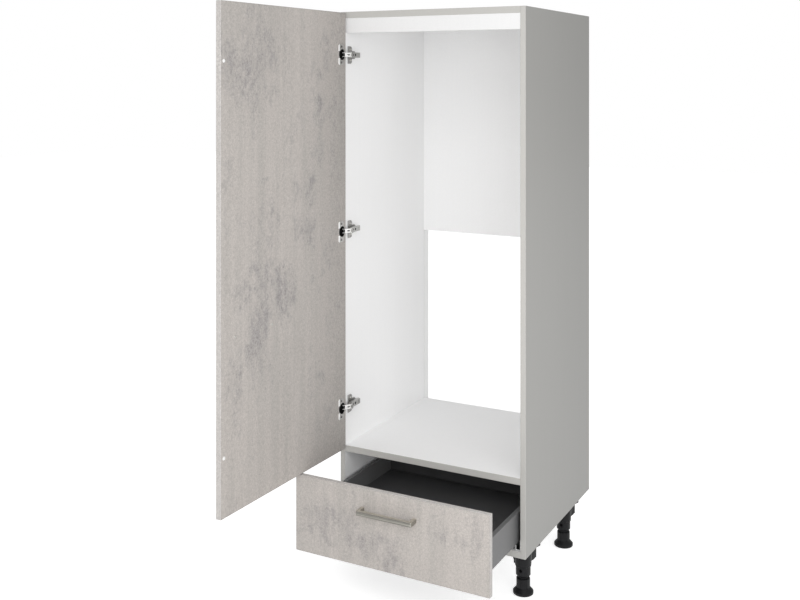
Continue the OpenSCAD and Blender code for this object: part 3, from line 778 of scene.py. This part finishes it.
@dataclass
class Carcass:
    """Side panels, decks, rail, back panel and the fittings that hold them together."""

    left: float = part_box("side_panel_left")[0][0]
    right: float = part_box("side_panel_right")[1][0]
    front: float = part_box("side_panel_left")[0][1]
    coating: float = 0.0015
    band: float = 0.0008
    white: Colour = (0.95, 0.95, 0.95)
    rail: Colour = (0.81, 0.81, 0.81)
    grey: Colour = (0.342, 0.338, 0.323)
    grey_edge: Colour = (0.510, 0.501, 0.478)
    beech: Colour = (0.62, 0.42, 0.24)
    cam_zinc: Colour = (0.55, 0.55, 0.54)
    screw_zinc: Colour = (0.62, 0.62, 0.60)

    def board(self, name: str, outer: Colour) -> Melamine:
        """Describes a coated board that is white inside and has a grey front edge.

        Args:
            name: the material's name.
            outer: the colour of the unit's outer faces.

        Returns:
            The board's finish.
        """
        return Melamine(name, self.white, outer, self.grey_edge, middle=(self.left + self.right) / 2,
                        outer_from=(self.right - self.left) / 2 - self.coating,
                        edge_before=self.front + self.band)

    def build(self) -> None:
        """Dresses the carcass."""
        dress(["side_panel_left", "side_panel_right"], self.board("grey_board", self.grey))
        dress(["top_panel", "appliance_shelf", "bottom_panel"], self.board("white_board", self.white))
        dress(["top_front_rail"], Melamine("white_rail", self.rail, self.rail, self.rail))
        dress(["back_panel"], Melamine("back_board", self.white, self.white, self.white, rough=0.5))
        dress(["panel_dowels"], Coating("beech", self.beech, rough=0.6, grain=300.0))
        dress(["cam_locks"], PlatedMetal("cam_metal", self.cam_zinc, rough=0.42))
        dress(["cam_bolts", "back_screws"], PlatedMetal("zinc_screws", self.screw_zinc, rough=0.34))


@dataclass
class DoorAndHinges:
    """The door, its handle and bumpers, and its three concealed hinges."""

    heights: Tuple[str, ...] = ("top", "middle", "bottom")
    clouds: Tuple[Cloud, ...] = (
        Cloud(0.151, 0.497, 0.110, 0.160), Cloud(0.130, -0.157, 0.065, 0.170),
        Cloud(0.018, -0.120, 0.055, 0.090), Cloud(0.115, 0.093, 0.100, 0.100, 0.6),
        # The tall cloud at -0.195 across, near the hinged edge, also stands partly for painted shade there
        Cloud(-0.195, 0.420, 0.050, 0.220, 0.5),
        Cloud(-0.080, 0.143, 0.050, 0.045, 0.7), Cloud(-0.085, 0.023, 0.050, 0.060, 0.7),
        Cloud(-0.184, -0.468, 0.070, 0.150, 0.5), Cloud(0.252, -0.340, 0.050, 0.120, 0.4),
        Cloud(-0.211, -0.017, 0.050, 0.220, 0.5), Cloud(0.060, 0.540, 0.080, 0.060, 0.7))
    # How much darker the door's hinge side is painted, partly print and partly painted shade
    hinge_side_print_and_shade: float = 0.20
    bumper: Colour = (0.86, 0.86, 0.85)
    arm: Colour = (0.46, 0.455, 0.44)
    plate: Colour = (0.38, 0.375, 0.365)
    # The outer link is bright plating, painted near white as a painted highlight
    outer_link: Colour = (0.96, 0.955, 0.94)
    inner_link: Colour = (0.30, 0.295, 0.285)
    screw: Colour = (0.62, 0.61, 0.58)
    cup_screw: Colour = (0.20, 0.195, 0.19)
    adjusting_screw: Colour = (0.012, 0.012, 0.012)

    def named(self, stem: str) -> List[str]:
        """Gives the nodes of all three hinges for a stem."""
        return [f"{stem}_{height}" for height in self.heights]

    def build(self) -> None:
        """Dresses the door and the hinges."""
        board = Board.of("door_panel", "door_hinge")
        dress(["door_panel"], Concrete("concrete_door", board, self.clouds, self.hinge_side_print_and_shade))
        dress(["door_handle"], PlatedMetal("door_nickel", NICKEL, rough=0.36, brush=0.60, smear=0.06))
        dress(["door_bumpers"],
              Coating("bumper_plastic", self.bumper, rough=0.35, grain=200.0, variation=0.03))
        dress(self.named("hinge_cup"), HingeCup("hinge_cup_metal", board))
        dress(self.named("hinge_arm"),
              PlatedMetal("hinge_arm_metal", self.arm, rough=0.30, brush=0.12, smear=0.10))
        dress(self.named("hinge_plate"),
              PlatedMetal("hinge_plate_metal", self.plate, rough=0.34, brush=0.16, smear=0.18))
        # Painted highlight: the bright plated outer link is painted near white and less metallic
        dress(self.named("outer_link"),
              PlatedMetal("link_plating_and_highlight", self.outer_link, rough=0.38, along=Axis.HEIGHT, brush=0.05,
                          smear=0.03, metallic=0.35))
        dress(self.named("inner_link"),
              PlatedMetal("link_metal", self.inner_link, rough=0.32, along=Axis.HEIGHT, brush=0.12))
        dress(["hinge_arm_pins", "hinge_plate_screws", "door_handle_screws"],
              PlatedMetal("hinge_screws", self.screw, rough=0.30))
        dress(["hinge_cup_screws"], PlatedMetal("cup_screws", self.cup_screw, rough=0.36))
        dress(["hinge_adjusting_screws"],
              PlatedMetal("dark_steel", self.adjusting_screw, rough=0.5, metallic=0.3))


@dataclass
class Drawer:
    """The drawer, its handle and its runners."""

    sides: Tuple[str, ...] = ("left", "right")
    runner_parts: Tuple[str, ...] = ("rail", "middle", "slide")
    clouds: Tuple[Cloud, ...] = (
        Cloud(-0.185, 0.000, 0.095, 0.055), Cloud(-0.072, -0.047, 0.110, 0.050),
        Cloud(-0.010, -0.074, 0.060, 0.040), Cloud(0.205, 0.012, 0.060, 0.070, 0.25),
        Cloud(-0.120, 0.068, 0.060, 0.035, 0.4), Cloud(0.155, -0.030, 0.040, 0.060, 0.2))
    cloud_tone: Colour = (0.345, 0.323, 0.314)
    metal_side: Colour = (0.138, 0.138, 0.140)
    dark_board: Colour = (0.062, 0.062, 0.064)
    fitting: Colour = (0.58, 0.58, 0.56)
    runner: Colour = (0.60, 0.60, 0.60)

    def build(self) -> None:
        """Dresses the drawer."""
        dress(["drawer_front"],
              Concrete("concrete_drawer", Board.of("drawer_front"), self.clouds, dark=self.cloud_tone))
        dress([f"drawer_side_{side}" for side in self.sides],
              Coating("drawer_metal", self.metal_side, rough=0.45, grain=1500.0, variation=0.12))
        dress(["drawer_base", "drawer_back"],
              Coating("dark_board", self.dark_board, specular=0.4, grain=900.0, variation=0.40))
        # The handle's front is painted darker and its top lighter as painted light
        dress(["handle"],
              PlatedMetal("nickel", NICKEL, rough=0.36, along=Axis.WIDTH, brush=0.60, smear=0.06,
                          drawn=0.9, front_painted_light=-0.42, top_painted_light=0.60))
        dress(["handle_screws", "drawer_screws", "drawer_brackets"],
              PlatedMetal("drawer_fittings", self.fitting, rough=0.34))
        runners = [f"runner_{part}_{side}" for part in self.runner_parts for side in self.sides]
        dress([*runners, "runner_screws"], PlatedMetal("runner_steel", self.runner, rough=0.30, brush=0.22))


@dataclass
class Legs:
    """The four adjustable legs."""

    corners: Tuple[str, ...] = ("front_left", "front_right", "rear_left", "rear_right")
    plastic: Colour = (0.008, 0.008, 0.009)
    screw: Colour = (0.60, 0.60, 0.58)

    def build(self) -> None:
        """Dresses the legs and their screws."""
        dress([f"{part}_{corner}" for corner in self.corners for part in ("leg", "foot")],
              Coating("leg_plastic", self.plastic, rough=0.45, specular=0.22, grain=900.0, relief=0.2,
                      height=0.0003))
        dress(["leg_screws"], PlatedMetal("leg_fixings", self.screw, rough=0.34))


@dataclass(frozen=True)
class Lamp:
    """A soft square lamp: where it hangs, what it points at, its side in metres and its power in watts."""

    name: str
    place: Place
    power: float
    target: Place = (0.0, 0.2, 0.8)
    side: float = 1.6

    def hang(self) -> None:
        """Hangs the lamp, which the camera doesn't see."""
        light = bpy.data.lights.new(self.name, "AREA")
        light.shape = "SQUARE"
        light.size = self.side
        light.energy = self.power
        holder = bpy.data.objects.new(self.name, light)
        holder.location = self.place
        holder.rotation_euler = (Vector(self.target) - Vector(self.place)).to_track_quat("-Z", "Y").to_euler()
        holder.visible_camera = False
        bpy.context.scene.collection.objects.link(holder)


@dataclass
class Studio:
    """Floor, surround, lamps and camera."""

    # The camera was solved in pixels of the image: its focal length and the point straight ahead of it
    image_px: Tuple[int, int] = (800, 600)
    focal_px: float = 1045.58
    centre_px: Tuple[float, float] = (394.59, 78.75)
    # The camera looks level: its tilt up from straight down, and its turn to the left of straight back
    tilt_deg: float = 90.0
    yaw_deg: float = 28.234
    # The camera's place from the middle of the unit's width
    eye: Place = (1.3531, -2.7119, 1.4578)
    middle: float = (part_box("side_panel_left")[0][0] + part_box("side_panel_right")[1][0]) / 2
    sensor_mm: float = 36.0
    far_end: float = 100.0
    # The strength of the surround's light on the object, where the camera sees 1
    sky: float = 0.65
    floor_half: float = 14.0
    floor_height: float = -0.0005
    floor_colour: Colour = (0.86, 0.86, 0.86)
    floor_rough: float = 0.9
    floor_mottle: Grain = Grain((3.0, 3.0, 3.0), 2.0)
    floor_mottle_tone: float = 0.02
    floor_glow: float = 0.60
    white: Colour = (1.0, 1.0, 1.0)
    lamps: Tuple[Lamp, ...] = (
        Lamp("side_light", (1.7, -1.4, 1.2), power=19.0),
        Lamp("high_light", (0.7, -3.2, 3.2), power=13.3),
        Lamp("front_light", (0.2, -2.6, 1.2), power=12.8),
    )

    def floor(self) -> None:
        """Lays a pale floor that keeps the shadow and glows for what looks at it."""
        corners = [(-1, -1), (1, -1), (1, 1), (-1, 1)]
        mesh = bpy.data.meshes.new("studio_floor")
        mesh.from_pydata([(x * self.floor_half, y * self.floor_half, self.floor_height) for x, y in corners],
                         [], [(0, 1, 2, 3)])
        floor = bpy.data.objects.new("studio_floor", mesh)
        bpy.context.scene.collection.objects.link(floor)
        p = Painter("studio_floor")
        seen = p.seen_by(Ray.CAMERA, Ray.GLOSSY, Ray.TRANSMITTED)
        tone = 1.0 + p.noise(self.floor_mottle).swing(self.floor_mottle_tone)
        p.finish(p.toned(self.floor_colour, tone), self.floor_rough, specular=0.0)
        glow = p.node("ShaderNodeEmission", {}, {"Color": self.white, "Strength": seen * self.floor_glow})
        both = p.node("ShaderNodeAddShader", {}, {0: p.shader.outputs[0], 1: glow.outputs[0]})
        p.feed(p.output.inputs["Surface"], both.outputs[0])
        floor.data.materials.append(p.material)

    def surround(self) -> None:
        """Lights the room from all round and shows white behind the unit."""
        world = bpy.data.worlds.new("studio_air")
        world.use_nodes = True
        bench = Bench(world.node_tree)
        strength = bench.seen_by(Ray.CAMERA, Ray.TRANSMITTED) * (1.0 - self.sky) + self.sky
        air = bench.node("ShaderNodeBackground", {}, {"Color": self.white, "Strength": strength})
        bench.node("ShaderNodeOutputWorld", {}, {"Surface": air.outputs[0]})
        bpy.context.scene.world = world

    def camera(self) -> None:
        """Sets the camera where the photograph was taken from."""
        width, height = self.image_px
        lens = bpy.data.cameras.new("camera")
        lens.sensor_fit = "HORIZONTAL"
        lens.sensor_width = self.sensor_mm
        lens.lens = self.focal_px / width * self.sensor_mm
        lens.shift_x = (width / 2 - self.centre_px[0]) / width
        lens.shift_y = (self.centre_px[1] - height / 2) / width
        lens.clip_end = self.far_end
        holder = bpy.data.objects.new("camera", lens)
        holder.location = Vector(self.eye) + Vector((self.middle, 0.0, 0.0))
        holder.rotation_euler = (math.radians(self.tilt_deg), 0.0, math.radians(self.yaw_deg))
        bpy.context.scene.collection.objects.link(holder)
        bpy.context.scene.camera = holder

    def build(self) -> None:
        """Sets up the studio."""
        self.floor()
        self.surround()
        for lamp in self.lamps:
            lamp.hang()
        self.camera()
        bpy.context.scene.view_settings.view_transform = "Standard"


def main() -> None:
    """Builds the classes in order."""
    logging.basicConfig(level=logging.INFO, format="%(name)s: %(message)s")
    for part in (Carcass(), DoorAndHinges(), Drawer(), Legs(), Studio()):
        part.build()
    log.info("boxes written")


if __name__ == "__main__":
    main()
